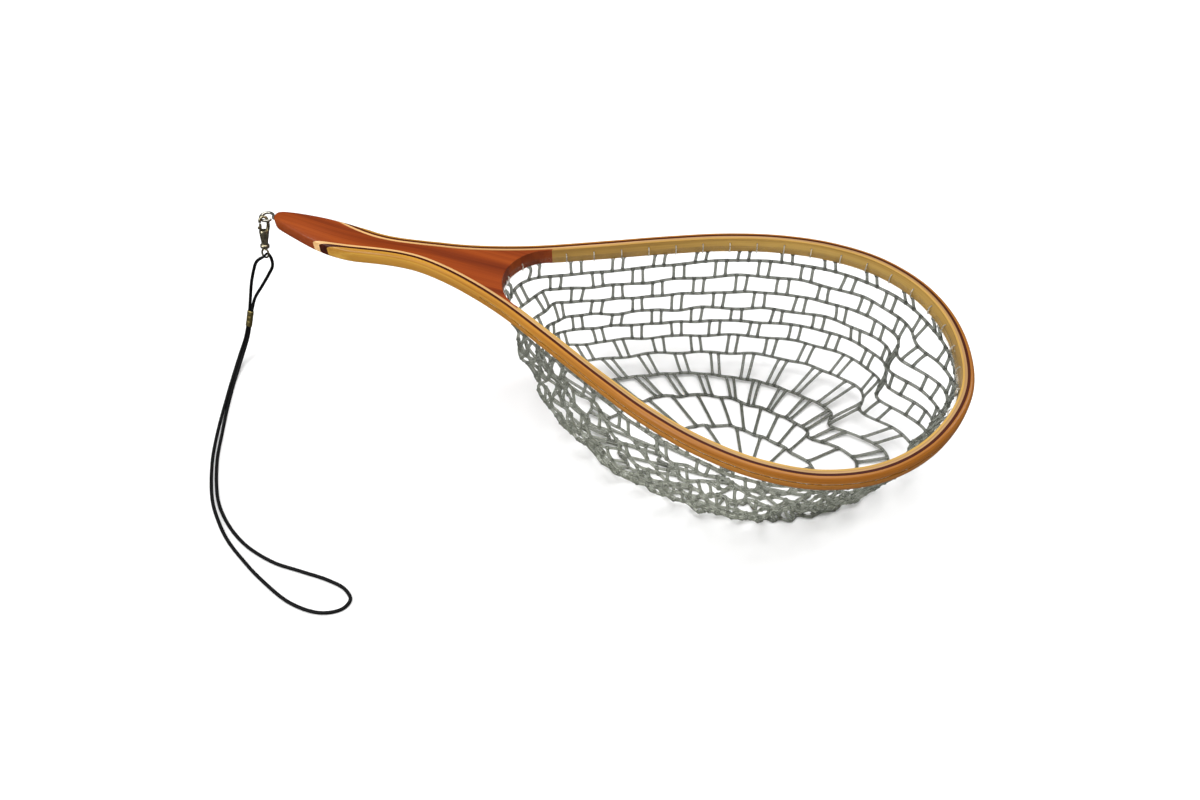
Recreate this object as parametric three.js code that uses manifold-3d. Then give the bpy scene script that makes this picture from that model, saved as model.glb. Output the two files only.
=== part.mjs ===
// A laminated wooden landing net: hardwood handle core, four bent strips round the hoop,
// a moulded rubber net bag, and a wrist lanyard on a swivel snap.
// Millimetres. +X runs from the butt to the hoop's tip, +Z up, and the bag's flat bottom stands at z = 0.
import * as THREE from "three";
import Module from "manifold-3d";
import { mergeVertices } from "three/addons/utils/BufferGeometryUtils.js";
import { ParametricGeometry } from "three/addons/geometries/ParametricGeometry.js";

const wasm = await Module();
wasm.setup();

// ---- driving dimensions ----
const TOP_Z = 147; // top face of the hoop above the bag's bottom
const FRAME_H = 14.2; // height of the wooden strips
const GAP = 0.3; // glue line, or clearance, between neighbouring pieces
const DARK = 1.1; // the dark strip reaches this far each side of its centre line
const OUTER_FACE = 5.0; // centre line to the hoop's outside
const PALE_FACE = 3.1; // centre line to the pale strip's inside
const INNER_FACE = 4.7; // centre line to the inner strip's inside
const TIP_X = 601.5; // the plan's far end
const HORN_X = 249; // where the yoke's horns end and the inner strip starts
const THROAT_X = 222; // deepest point of the throat
const STRIP_STEPS = 92; // facets along a strip
const GROOVE_W = 2.6; // lacing groove in the outer strip
const GROOVE_DEPTH = 1.7;
const GROOVE_START_X = 212;
const GROOVE_Z = 5.5; // the groove's middle, below the top face
const LINE_R = 0.6; // lacing line
const MID_Z = TOP_Z - FRAME_H / 2;
const DIP = 6.5; // the grip dips this far below the plane of the hoop
const DIP_FROM = -10;
const DIP_TO = 160;
const BAG_WALL = 1.6;
const BAND_WALL = 2.6; // thick band round the bag's mouth
const BAND_TOP = 8; // below the hoop's top face
const BAND_H = 5;
const RING_R = 5.8; // screw eye: ring's middle radius, wire and place
const RING_WIRE = 1.3;
const RING_X = -12.5;
const RING_Z = MID_Z;
const SHANK_END_X = 22;
const SNAP_TILT = THREE.MathUtils.degToRad(20); // the snap leans this far towards -Y at rest
const HOOK_TWIST = THREE.MathUtils.degToRad(64); // the hook's plane, turned about the snap's length
const PIN_R = 0.5;
const PIN_U = -2.3; // gate pin, across the hook's plane and down the snap
const PIN_W = 13.2;
const SLOT_HALF = 1.7;
const EYE_SHANK_R = 1.0;
const CORD_R = 1.15;

// Half-width of the dark strip's centre line at stations along X, from the butt to the tip.
const HALF_WIDTHS = [
  [10, 29], [30, 22.5], [50, 17.8], [66, 14.4], [80, 11.9], [93, 10], [107, 8.8], [120, 8.5],
  [133, 9], [146, 10.2], [172, 14.8], [200, 22.6], [235, 35.6], [285, 59.5], [337, 85.4],
  [384, 106.3], [429, 119.9], [474, 125], [517, 118.9], [557, 96.9], [587, 57.5], [TIP_X, 0],
];

// Half-width of the rounded butt, then well outside the strips from the grip onwards.
const BUTT_OUTLINE = [
  [-3, 0], [-2.2, 3.2], [1, 6], [8, 8.4], [20, 11.4], [40, 15.4], [58, 17.1], [74, 16.9],
  [86, 16.3], [98, 17.5], [112, 30],
];

// The lanyard's two strands, from the swivel eye along the floor to the end of the wrist loop.
const NEAR_STRAND = [
  [-17.3, -21.6, 106], [-21.4, -22.4, 101.5], [-28, -22.6, 89], [-33.3, -25.2, 74], [-36.6, -28.4, 60],
  [-38, -34.6, 46.2], [-39.8, -41.9, 32.2], [-41.6, -48.4, 21.4], [-43.4, -61.4, 9],
  [-39.2, -82.2, 2.2], [-28.6, -110, 1.2], [-13, -147.5, 1.2], [1.7, -177, 1.2],
  [25.4, -211.5, 1.2], [44.3, -229.5, 1.2], [62.2, -242.7, 1.2], [83, -253.7, 1.2],
  [108, -264.8, 1.2], [143.5, -275.8, 1.2], [170, -275, 1.2], [184.5, -266, 1.2],
];
const FAR_STRAND = [
  [-9.8, -14.6, 105.5], [-11.2, -14.4, 94], [-16.5, -17.2, 84], [-24.6, -22.1, 71],
  [-32.6, -28, 58], [-35.5, -34.6, 45.8], [-37.3, -41.9, 31.8], [-39, -48, 21.2],
  [-40.6, -60.6, 9], [-36.5, -81.2, 2.2], [-25.9, -108.8, 1.2], [-9.1, -145.8, 1.2],
  [5.4, -175, 1.2], [29, -208.6, 1.2], [46.3, -224, 1.2], [64.9, -235.4, 1.2],
  [84.2, -243, 1.2], [110.6, -247.8, 1.2], [134.6, -247.4, 1.2], [160.3, -247, 1.2],
  [177.5, -249.6, 1.2], [186.6, -256.5, 1.2],
];
const FERRULE_TOP = new THREE.Vector3(-36.75, -34.6, 46);
const FERRULE_END = new THREE.Vector3(-38.55, -41.9, 32);
const FERRULE_WALL = 1.95;
const STRAND_GAP = 1.25; // half the distance between the strands' centres in the ferrule

// ---- solids ----
// A three.js geometry as a manifold-3d solid, with shared vertices merged and slivers dropped.
function solid(geometry) {
  const bare = geometry.index ? geometry.toNonIndexed() : geometry.clone();
  bare.deleteAttribute("normal");
  bare.deleteAttribute("uv");
  const merged = mergeVertices(bare, 1e-3);
  const corners = merged.index.array;
  const kept = [];
  for (let i = 0; i < corners.length; i += 3) {
    const [a, b, c] = [corners[i], corners[i + 1], corners[i + 2]];
    if (a !== b && b !== c && c !== a) kept.push(a, b, c);
  }
  const mesh = { numProp: 3, vertProperties: merged.attributes.position.array };
  return new wasm.Manifold(new wasm.Mesh({ ...mesh, triVerts: new Uint32Array(kept) }));
}

// A manifold-3d solid back as a three.js geometry.
function geometryOf(body) {
  const mesh = body.getMesh();
  const geometry = new THREE.BufferGeometry();
  geometry.setAttribute("position", new THREE.BufferAttribute(mesh.vertProperties, 3));
  geometry.setIndex(new THREE.BufferAttribute(mesh.triVerts, 1));
  geometry.computeVertexNormals();
  return geometry;
}

const cylinder = (r, length, sides = 16) => new THREE.CylinderGeometry(r, r, length, sides);
const box = (x, y, z) => new THREE.BoxGeometry(x, y, z);

// ---- the hoop's plan ----
const planHalf = HALF_WIDTHS.map(([x, half]) => new THREE.Vector3(x, -half, TOP_Z));
const planMirror = planHalf.slice(0, -1).reverse().map((p) => new THREE.Vector3(p.x, -p.y, p.z));
const plan = new THREE.CatmullRomCurve3([...planHalf, ...planMirror], false, "centripetal");
plan.arcLengthDivisions = 2000;

// Points of the plan, moved inwards by a distance.
function inwards(distance, steps) {
  const points = [];
  for (let i = 0; i <= steps; i++) {
    const t = plan.getTangentAt(i / steps);
    const p = plan.getPointAt(i / steps);
    points.push(new THREE.Vector2(p.x - t.y * distance, p.y + t.x * distance));
  }
  return points;
}

// How far the grip lies below the plane of the hoop at x.
function dip(x) {
  const along = THREE.MathUtils.clamp((x - DIP_FROM) / (DIP_TO - DIP_FROM), 0, 1);
  return DIP * Math.sin(Math.PI * along) ** 2;
}

// Bends a flat-made solid of the handle down along the dip.
function dipped(body) {
  const geometry = geometryOf(body);
  const at = geometry.attributes.position;
  for (let i = 0; i < at.count; i++) at.setZ(i, at.getZ(i) - dip(at.getX(i)));
  return solid(geometry);
}

// Everything inside the rounded butt's outline, its top and bottom edges rounded.
function buttEnvelope() {
  const half = new THREE.SplineCurve(BUTT_OUTLINE.map(([x, y]) => new THREE.Vector2(x, y)));
  const upper = half.getPoints(26);
  const lower = upper.slice(1).reverse().map((p) => new THREE.Vector2(p.x, -p.y));
  const wide = [[130, 150], [640, 150], [640, -150], [130, -150]];
  const outline = new THREE.Shape([
    ...upper,
    ...wide.map(([x, y]) => new THREE.Vector2(x, y)),
    ...lower,
  ]);
  const round = 2.4;
  const geometry = new THREE.ExtrudeGeometry(outline, {
    depth: FRAME_H - 2 * round,
    bevelThickness: round,
    bevelSize: round,
    bevelOffset: -round,
    bevelSegments: 2,
  });
  return solid(geometry.translate(0, 0, TOP_Z - FRAME_H + round));
}
const envelope = buttEnvelope();

// A strip's section swept along the plan; section x runs down from the top face, y inwards.
function sweep(section) {
  const shape = new THREE.Shape(section.map(([x, y]) => new THREE.Vector2(x, y)));
  const swept = { steps: STRIP_STEPS, extrudePath: plan, bevelEnabled: false };
  return solid(new THREE.ExtrudeGeometry(shape, swept));
}

function strip(from, to) {
  const section = [[0, from], [FRAME_H, from], [FRAME_H, to], [0, to]];
  return dipped(sweep(section).intersect(envelope));
}

// The outer strip has rounded outside edges and the lacing groove above mid-height.
function outerStrip() {
  const inner = -DARK - GAP;
  const [a, b] = [1.1, 2.6];
  const band = sweep([
    [0, inner], [0, -OUTER_FACE + b], [a, -OUTER_FACE + a / 2], [b + 0.4, -OUTER_FACE],
    [FRAME_H - b - 0.4, -OUTER_FACE], [FRAME_H - a, -OUTER_FACE + a / 2],
    [FRAME_H, -OUTER_FACE + b], [FRAME_H, inner],
  ]);
  const [low, high] = [GROOVE_Z - GROOVE_W / 2, GROOVE_Z + GROOVE_W / 2];
  const floor = -OUTER_FACE + GROOVE_DEPTH;
  const cutter = sweep([[low, -OUTER_FACE - 1], [high, -OUTER_FACE - 1], [high, floor], [low, floor]]);
  return dipped(band.subtract(hoopOnly(cutter, GROOVE_START_X)).intersect(envelope));
}

// The part of a solid beyond x.
function hoopOnly(body, x) {
  const keep = box(500, 400, 60).translate(x + 250, 0, MID_Z);
  return body.intersect(solid(keep));
}

function innerStrip() {
  const [from, to] = [PALE_FACE + GAP, INNER_FACE];
  return hoopOnly(sweep([[0, from], [FRAME_H, from], [FRAME_H, to], [0, to]]), HORN_X + GAP);
}

function lacingLine() {
  const ring = [];
  for (let i = 0; i < 6; i++) {
    const a = (i * Math.PI) / 3;
    ring.push([GROOVE_Z + LINE_R * Math.cos(a), -OUTER_FACE + 0.9 + LINE_R * Math.sin(a)]);
  }
  return hoopOnly(sweep(ring), GROOVE_START_X + 1);
}

// The near side's point at x, a distance inwards from the plan.
function nearSideAt(x, distance) {
  const points = inwards(distance, STRIP_STEPS);
  const i = points.findIndex((p) => p.x >= x);
  const [a, b] = [points[i - 1], points[i]];
  return a.clone().lerp(b, (x - a.x) / (b.x - a.x));
}

// The throat is an arc through the horns' tips and the throat's deepest point.
function throatArc() {
  const tip = nearSideAt(HORN_X, INNER_FACE);
  const rise = tip.x - THROAT_X;
  const radius = (rise * rise + tip.y * tip.y) / (2 * rise);
  return { tip, radius, centre: THROAT_X + radius };
}

function handleCore() {
  const side = inwards(PALE_FACE + GAP, STRIP_STEPS).filter((p) => p.y < 0 && p.x < HORN_X);
  const { tip, radius, centre } = throatArc();
  const sweepAngle = Math.asin(-tip.y / radius);
  const throat = [];
  for (let i = 0; i <= 12; i++) {
    const a = Math.PI + sweepAngle * (1 - i / 6);
    throat.push(new THREE.Vector2(centre + radius * Math.cos(a), radius * Math.sin(a)));
  }
  const near = [...side, nearSideAt(HORN_X, PALE_FACE + GAP)];
  const far = near.map((p) => new THREE.Vector2(p.x, -p.y)).reverse();
  const ends = [new THREE.Vector2(-20, -30), new THREE.Vector2(-20, 30)];
  const outline = new THREE.Shape([ends[0], ...near, ...throat, ...far, ends[1]]);
  const flat = new THREE.ExtrudeGeometry(outline, { depth: FRAME_H, bevelEnabled: false });
  const body = dipped(solid(flat.translate(0, 0, TOP_Z - FRAME_H)).intersect(envelope));
  const hole = cylinder(RING_WIRE + GAP, SHANK_END_X + 30, 12).rotateZ(Math.PI / 2);
  return body.subtract(solid(hole.translate(SHANK_END_X / 2 - 14.5, 0, RING_Z)));
}

// ---- the bag ----
// The mouth's outline, a closed curve just inside the hoop and the throat.
function mouth() {
  const clear = 0.6;
  const hoop = inwards(INNER_FACE + clear, 60).filter((p) => p.x > HORN_X + 6);
  const { tip, radius, centre } = throatArc();
  const throat = [];
  for (let i = 0; i <= 6; i++) {
    const a = Math.PI - Math.asin(-tip.y / radius) * 0.86 * (1 - i / 3);
    const r = radius - clear - 0.3;
    throat.push(new THREE.Vector2(centre + r * Math.cos(a), r * Math.sin(a)));
  }
  const points = [...hoop, ...throat].map((p) => new THREE.Vector3(p.x, p.y, 0));
  return new THREE.CatmullRomCurve3(points, true, "centripetal");
}
const mouthCurve = mouth();

// The bag's flat bottom is an ellipse; the wall runs from the mouth to it.
const BOTTOM = { x: 425, y: -5, a: 135, b: 76 };
// Depth below the hoop's top face, how far towards the ellipse, and the ellipse's scale.
const LEVELS = [
  [BAND_TOP, 0, 1], [BAND_TOP + BAND_H, 0, 1], [45, 0.08, 1], [80, 0.25, 1], [110, 0.5, 1],
  [132, 0.8, 1], [143, 1, 0.94], [TOP_Z, 1, 0.8], [TOP_Z, 1, 0],
];

// A point of the bag's outside at a turn u and a level, drawn in by a wall's thickness.
function bagPoint(u, [depth, towards, scale], wall, target) {
  const rim = mouthCurve.getPointAt(u);
  const angle = Math.atan2((rim.y - BOTTOM.y) / BOTTOM.b, (rim.x - BOTTOM.x) / BOTTOM.a);
  const low = new THREE.Vector3(
    BOTTOM.x + BOTTOM.a * scale * Math.cos(angle),
    BOTTOM.y + BOTTOM.b * scale * Math.sin(angle),
    0,
  );
  target.copy(rim).lerp(low, towards);
  const inside = new THREE.Vector3(BOTTOM.x - 20, 0, 0).sub(target);
  if (inside.length() > wall) target.addScaledVector(inside.normalize(), wall);
  target.z = Math.max(TOP_Z - depth, 0) + (depth > 120 ? wall : 0);
}

function netBag() {
  const thick = LEVELS.map((level, i) => [level, i < 2 ? BAND_WALL : BAG_WALL]);
  const profile = [...thick.map(([level]) => [level, 0]).reverse(), ...thick];
  const last = profile.length - 1;
  const surface = (u, v, target) => {
    const [level, wall] = profile[Math.round(v * last)];
    bagPoint(1 - (u % 1), level, wall, target);
  };
  const body = solid(new ParametricGeometry(surface, 48, last));
  return body.volume() > 0 ? body : solid(turnedOut(new ParametricGeometry(surface, 48, last)));
}

// The same geometry with every face turned round.
function turnedOut(geometry) {
  const corners = geometry.index.array;
  for (let i = 0; i < corners.length; i += 3) {
    [corners[i], corners[i + 1]] = [corners[i + 1], corners[i]];
  }
  return geometry;
}

// ---- screw eye, snap and swivel ----
function screwEye() {
  const ring = new THREE.TorusGeometry(RING_R, RING_WIRE, 8, 24).translate(RING_X, 0, RING_Z);
  const from = RING_X + RING_R;
  const shank = cylinder(RING_WIRE, SHANK_END_X - from, 12).rotateZ(Math.PI / 2);
  return solid(ring).add(solid(shank.translate((SHANK_END_X + from) / 2, 0, RING_Z)));
}

// The snap's pieces are made hanging straight down from the ring's wire at the origin:
// x across the hook, y through its thickness, z up.
function hookBody() {
  const route = [[3, -11], [4.3, -6], [4, -0.8], [2, 3], [-0.9, 3.7], [-3, 2.3], [-3.6, 0.4], [-3.6, -1.6]];
  const bend = new THREE.CatmullRomCurve3(route.map(([x, z]) => new THREE.Vector3(x, 0, z)));
  const wire = new THREE.Shape().absellipse(0, 0, 1.2, 1.5, 0, Math.PI * 2);
  const swept = { steps: 14, extrudePath: bend, bevelEnabled: false, curveSegments: 4 };
  const hook = solid(new THREE.ExtrudeGeometry(wire, swept));
  const profile = [
    [0, -26], [3.7, -26], [4.1, -25.2], [4.1, -23.2], [3, -22.2], [3.2, -19], [3.9, -15],
    [4.4, -11], [4.2, -9.2], [0, -8.6],
  ].map(([r, z]) => new THREE.Vector2(r, z));
  const barrel = solid(new THREE.LatheGeometry(profile, 16).rotateX(Math.PI / 2));
  const chamber = cylinder(2.3, 2.6, 12).rotateX(Math.PI / 2).translate(0, 0, -20.8);
  const bore = cylinder(EYE_SHANK_R + GAP, 8, 12).rotateX(Math.PI / 2).translate(0, 0, -24);
  const slot = box(6, 2 * SLOT_HALF, 8).translate(-1.9, 0, -11.2);
  const pinHole = cylinder(PIN_R + 0.2, 12, 10).translate(PIN_U, 0, -PIN_W);
  return [chamber, bore, slot, pinHole].reduce((body, tool) => body.subtract(solid(tool)), barrel.add(hook));
}

function gate() {
  const outline = new THREE.Shape(
    [[-3.3, -14.2], [-1.3, -14.2], [-1.4, -11], [-2.2, -7], [-2.6, -2.4], [-4.3, -2.4], [-4.2, -4.4],
      [-5.6, -5.4], [-5.4, -7], [-4, -8.4], [-3.9, -11]].map(([x, z]) => new THREE.Vector2(x, z)),
  );
  const plate = new THREE.ExtrudeGeometry(outline, { depth: 1.6, bevelEnabled: false });
  const body = solid(plate.translate(0, 0, -0.8).rotateX(Math.PI / 2));
  return body.subtract(solid(cylinder(PIN_R + 0.2, 6, 10).translate(PIN_U, 0, -PIN_W)));
}

const gatePin = () => solid(cylinder(PIN_R, 6, 10).translate(PIN_U, 0, -PIN_W));

function gateSpring() {
  const coil = new THREE.TorusGeometry(1.0, 0.22, 6, 14).rotateX(Math.PI / 2);
  return solid(coil.translate(PIN_U, 1.2, -PIN_W));
}

function swivelEye() {
  const eye = new THREE.TorusGeometry(3.4, 0.9, 8, 20).scale(1, 1.2, 1).rotateX(Math.PI / 2);
  const shank = cylinder(EYE_SHANK_R, 7.5, 12).rotateX(Math.PI / 2).translate(0, 0, -24.05);
  const head = cylinder(1.9, 1.1, 12).rotateX(Math.PI / 2).translate(0, 0, -20.6);
  return solid(eye.translate(0, 0, -31.2)).add(solid(shank)).add(solid(head));
}

// ---- the lanyard ----
// One loop of cord: over the swivel eye's bar, down both strands and round the wrist loop.
function cordPath() {
  const over = new THREE.Vector3(0, 0, -32.9).applyEuler(new THREE.Euler(-SNAP_TILT, 0, 0));
  over.add(new THREE.Vector3(RING_X, -RING_R, RING_Z));
  const front = over.clone().add(new THREE.Vector3(-0.25, -0.3, 0));
  const back = over.clone().add(new THREE.Vector3(0.25, 0.3, 0));
  const route = [...NEAR_STRAND, ...[...FAR_STRAND].reverse()].map((p) => new THREE.Vector3(...p));
  const ahead = front.clone().add(new THREE.Vector3(-0.9, -2.3, -0.2));
  const behind = back.clone().add(new THREE.Vector3(1.6, 2.4, -0.2));
  const path = new THREE.CatmullRomCurve3([front, ahead, ...route, behind, back], false, "centripetal");
  // Steps follow the route's own points, which are closer together where the cord bends.
  path.getPointAt = path.getPoint;
  path.getTangentAt = path.getTangent;
  return path;
}

function lanyardCord() {
  const section = [];
  for (let i = 0; i < 8; i++) {
    const a = ((i + 0.5) * Math.PI) / 4;
    section.push(new THREE.Vector2(CORD_R * Math.cos(a), CORD_R * Math.sin(a)));
  }
  const swept = { steps: 88, extrudePath: cordPath(), bevelEnabled: false };
  return solid(new THREE.ExtrudeGeometry(new THREE.Shape(section), swept));
}

// A crimped sleeve of two lobes, bored for both strands.
function ferrule() {
  const outline = new THREE.Shape();
  outline.absarc(STRAND_GAP, 0, FERRULE_WALL, -Math.PI / 2, Math.PI / 2);
  outline.absarc(-STRAND_GAP, 0, FERRULE_WALL, Math.PI / 2, (Math.PI * 3) / 2);
  const slot = new THREE.Path();
  slot.absarc(STRAND_GAP, 0, CORD_R + GAP, -Math.PI / 2, Math.PI / 2);
  slot.absarc(-STRAND_GAP, 0, CORD_R + GAP, Math.PI / 2, (Math.PI * 3) / 2);
  outline.holes.push(slot);
  const length = FERRULE_TOP.distanceTo(FERRULE_END);
  const sleeve = { depth: length, bevelEnabled: false, curveSegments: 8 };
  return solid(new THREE.ExtrudeGeometry(outline, sleeve));
}

// ---- the assembly ----
const wood = (color) => new THREE.MeshStandardMaterial({ color, roughness: 0.3, metalness: 0 });
const metal = (color) => new THREE.MeshStandardMaterial({ color, roughness: 0.35, metalness: 1 });
const clear = new THREE.MeshStandardMaterial({ color: 0xc9ccc4, roughness: 0.35, metalness: 0 });
const black = new THREE.MeshStandardMaterial({ color: 0x101012, roughness: 0.8, metalness: 0 });

const landingNet = new THREE.Group();

function put(parent, name, body, material) {
  const mesh = new THREE.Mesh(geometryOf(body), material);
  mesh.name = name;
  parent.add(mesh);
  return mesh;
}

put(landingNet, "handle_core", handleCore(), wood(0xa04619));
put(landingNet, "inner_strip", innerStrip(), wood(0xbfa35c));
put(landingNet, "pale_strip", strip(DARK + GAP, PALE_FACE), wood(0xe1a56e));
put(landingNet, "dark_strip", strip(-DARK, DARK), wood(0x5f1e05));
put(landingNet, "outer_strip", outerStrip(), wood(0xcd8a35));
put(landingNet, "net_bag", netBag(), clear);
put(landingNet, "lacing_line", lacingLine(), clear);
put(landingNet, "screw_eye", screwEye(), metal(0x9a9a94));

// The snap hangs from the near side of the ring.
const snap = new THREE.Group();
snap.position.set(RING_X, -RING_R, RING_Z);
snap.rotation.x = -SNAP_TILT;
const hookPlane = new THREE.Group();
hookPlane.rotation.z = HOOK_TWIST;
snap.add(hookPlane);
landingNet.add(snap);
put(hookPlane, "snap_body", hookBody(), metal(0x7d7550));
put(hookPlane, "snap_gate", gate(), metal(0x8a8260));
put(hookPlane, "gate_pin", gatePin(), metal(0x8f8f88));
put(hookPlane, "gate_spring", gateSpring(), metal(0x9a9a94));
put(snap, "swivel_eye", swivelEye(), metal(0x8d8664));

put(landingNet, "lanyard_cord", lanyardCord(), black);
const sleeve = put(landingNet, "cord_ferrule", ferrule(), metal(0xa08c3c));
sleeve.position.copy(FERRULE_TOP);
sleeve.lookAt(FERRULE_END);

// The origin is under the middle of the net, lanyard left out.
landingNet.position.x = -(RING_X - RING_R - RING_WIRE + TIP_X + OUTER_FACE) / 2;

export default landingNet;
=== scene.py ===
import math

import bmesh
import bpy
import numpy as np
from mathutils import Matrix, Vector


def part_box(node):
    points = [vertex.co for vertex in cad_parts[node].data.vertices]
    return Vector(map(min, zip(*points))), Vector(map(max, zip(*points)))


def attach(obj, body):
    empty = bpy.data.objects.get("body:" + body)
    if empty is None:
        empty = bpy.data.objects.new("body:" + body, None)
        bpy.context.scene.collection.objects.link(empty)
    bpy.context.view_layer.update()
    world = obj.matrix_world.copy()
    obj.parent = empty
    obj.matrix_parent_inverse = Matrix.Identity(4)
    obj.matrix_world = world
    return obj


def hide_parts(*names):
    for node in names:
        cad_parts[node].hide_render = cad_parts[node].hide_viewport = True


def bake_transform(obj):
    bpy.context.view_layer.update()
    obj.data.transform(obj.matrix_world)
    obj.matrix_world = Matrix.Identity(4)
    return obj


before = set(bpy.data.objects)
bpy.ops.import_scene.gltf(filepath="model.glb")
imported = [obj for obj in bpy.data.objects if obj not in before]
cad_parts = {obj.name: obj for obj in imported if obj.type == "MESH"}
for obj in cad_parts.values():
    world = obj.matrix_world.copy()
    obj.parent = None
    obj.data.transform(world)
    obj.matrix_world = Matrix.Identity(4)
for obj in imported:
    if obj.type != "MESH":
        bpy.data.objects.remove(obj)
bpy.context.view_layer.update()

# Lengths are in millimetres in the net's own frame until they reach a mesh: x from the butt, y across,
# z up from the floor. The row frame's origin is under the middle of the net.
MIDDLE_X = 293.45
TOP_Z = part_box("dark_strip")[1][2] * 1000
FRAME_H = 14.2
MID_Z = TOP_Z - FRAME_H / 2
# Distances across the strips from the plan's line, which is the dark strip's middle. All but OUTER_FACE
# are measured inwards, and GLUE is the gap on both sides of the pale strip.
DARK = 1.1
OUTER_FACE = 5.0
PALE_FACE = 3.1
INNER_FACE = 4.7
GLUE = 0.02
HORN_X = 249
THROAT_X = 222
GROOVE_START_X = 212
# The groove and the lacing holes lie this far below the top face.
GROOVE_Z = 5.5
HOLE_PITCH, HOLE_R = 23, 0.85
BUTT_ROUND = 3.8
DIP_DEPTH, DIP_START, DIP_LENGTH = 6.5, -10, 170


def row(points):
    """Net millimetres to row-frame metres."""
    return (np.asarray(points, float) - np.array([MIDDLE_X, 0, 0])) / 1000


# ---------------------------------------------------------------- camera, floor and light
def camera():
    """The photograph's viewpoint, recovered from the hoop's symmetry."""
    data = bpy.data.cameras.new("camera")
    data.lens = 30
    data.sensor_width = 36
    data.clip_start = 0.01
    thing = bpy.data.objects.new("camera", data)
    bpy.context.collection.objects.link(thing)
    back = Vector((0.2300, -0.6088, 0.7592)).normalized()
    right = Vector((0, 0, 1)).cross(back).normalized()
    up = back.cross(right)
    roll = Matrix.Rotation(math.radians(-0.627), 3, "Z")
    turn = Matrix((right, up, back)).transposed() @ roll
    place = row([517.3, -561.0, 565.6 + TOP_Z])
    thing.matrix_world = Matrix.Translation(place) @ turn.to_4x4()
    bpy.context.scene.camera = thing


def area_light(name, place, target, size, power):
    """A round lamp at a place, turned towards a target."""
    data = bpy.data.lights.new(name, "AREA")
    data.shape = "DISK"
    data.size = size
    data.energy = power
    thing = bpy.data.objects.new(name, data)
    bpy.context.collection.objects.link(thing)
    thing.location = place
    thing.rotation_euler = (Vector(target) - Vector(place)).to_track_quat("-Z", "Y").to_euler()


def studio():
    """The floor, the three lamps, and a white world that is dimmer in reflections and through rubber."""
    mesh = bpy.data.meshes.new("floor")
    reach = 6
    corners = [(-reach, -reach, 0), (reach, -reach, 0), (reach, reach, 0), (-reach, reach, 0)]
    mesh.from_pydata(corners, [], [(0, 1, 2, 3)])
    floor = bpy.data.objects.new("floor", mesh)
    bpy.context.collection.objects.link(floor)
    paint = bpy.data.materials.new("floor_white")
    paint.use_nodes = True
    shader = paint.node_tree.nodes["Principled BSDF"]
    shader.inputs["Base Color"].default_value = (0.9, 0.9, 0.9, 1)
    shader.inputs["Roughness"].default_value = 0.9
    floor.data.materials.append(paint)
    floor.visible_glossy = False
    world = bpy.data.worlds.new("studio")
    world.use_nodes = True
    nodes, links = world.node_tree.nodes, world.node_tree.links
    nodes["Background"].inputs["Color"].default_value = (1.0, 1.0, 1.0, 1)
    rays = nodes.new("ShaderNodeLightPath")
    mirrored = nodes.new("ShaderNodeMath")
    mirrored.operation = "MAXIMUM"
    links.new(rays.outputs["Is Glossy Ray"], mirrored.inputs[0])
    links.new(rays.outputs["Is Transmission Ray"], mirrored.inputs[1])
    strength = nodes.new("ShaderNodeMapRange")
    strength.inputs["To Min"].default_value = 0.5
    strength.inputs["To Max"].default_value = 0.06
    links.new(mirrored.outputs["Value"], strength.inputs["Value"])
    links.new(strength.outputs["Result"], nodes["Background"].inputs["Strength"])
    bpy.context.scene.world = world
    area_light("overhead", (0.1, 0.1, 2.2), (0.05, 0, 0), 2.4, 46)
    area_light("front_left", (-1.2, -1.5, 1.5), (0, 0, 0.1), 1.0, 22)
    area_light("back_right", (1.4, 1.2, 1.3), (0.1, 0, 0.1), 0.8, 12)
    bpy.context.scene.view_settings.view_transform = "Standard"


# ---------------------------------------------------------------- curves
def spline(points, steps, closed=False):
    """Centripetal Catmull-Rom curve through points, evenly sampled between each pair."""
    p = np.asarray(points, float)
    if closed:
        p = np.vstack([p[-1], p, p[0], p[1]])
    else:
        p = np.vstack([2 * p[0] - p[1], p, 2 * p[-1] - p[-2]])
    out = []
    for a, b, c, d in zip(p[:-3], p[1:-2], p[2:-1], p[3:]):
        da, db, dc = (math.sqrt(np.linalg.norm(q - r)) for q, r in ((b, a), (c, b), (d, c)))
        ta = ((b - a) / da - (c - a) / (da + db) + (c - b) / db) * db
        tb = ((c - b) / db - (d - b) / (db + dc) + (d - c) / dc) * db
        t = np.arange(steps)[:, None] / steps
        out.append(b + ta * t + (-3 * b + 3 * c - 2 * ta - tb) * t**2 + (2 * b - 2 * c + ta + tb) * t**3)
    if not closed:
        out.append(p[-2][None])
    return np.vstack(out)


def even(points, count, closed=False):
    """The same curve at count points evenly spaced along it."""
    p = np.vstack([points, points[:1]]) if closed else np.asarray(points)
    along = np.r_[0, np.cumsum(np.linalg.norm(np.diff(p, axis=0), axis=1))]
    wanted = np.linspace(0, along[-1], count, endpoint=not closed)
    return np.stack([np.interp(wanted, along, axis) for axis in p.T], axis=1)


# The plan's line on one side, from the butt to the tip, as (x, half the width).
HALF_WIDTHS = [
    (10, 29), (30, 22.5), (50, 17.8), (66, 14.4), (80, 11.9), (93, 10), (107, 8.8), (120, 8.5),
    (133, 9), (146, 10.2), (172, 14.8), (200, 22.6), (235, 35.6), (285, 59.5), (337, 85.4),
    (384, 106.3), (429, 119.9), (474, 125), (517, 118.9), (557, 96.9), (587, 57.5), (601.5, 0),
]
_sides = [(x, -y) for x, y in HALF_WIDTHS] + [(x, y) for x, y in HALF_WIDTHS[-2::-1]]
PLAN = even(spline(_sides, 40), 521)
_along = np.gradient(PLAN, axis=0)
_along /= np.linalg.norm(_along, axis=1)[:, None]
INWARD = np.stack([-_along[:, 1], _along[:, 0]], axis=1)
LENGTH = np.r_[0, np.cumsum(np.linalg.norm(np.diff(PLAN, axis=0), axis=1))]


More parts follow.
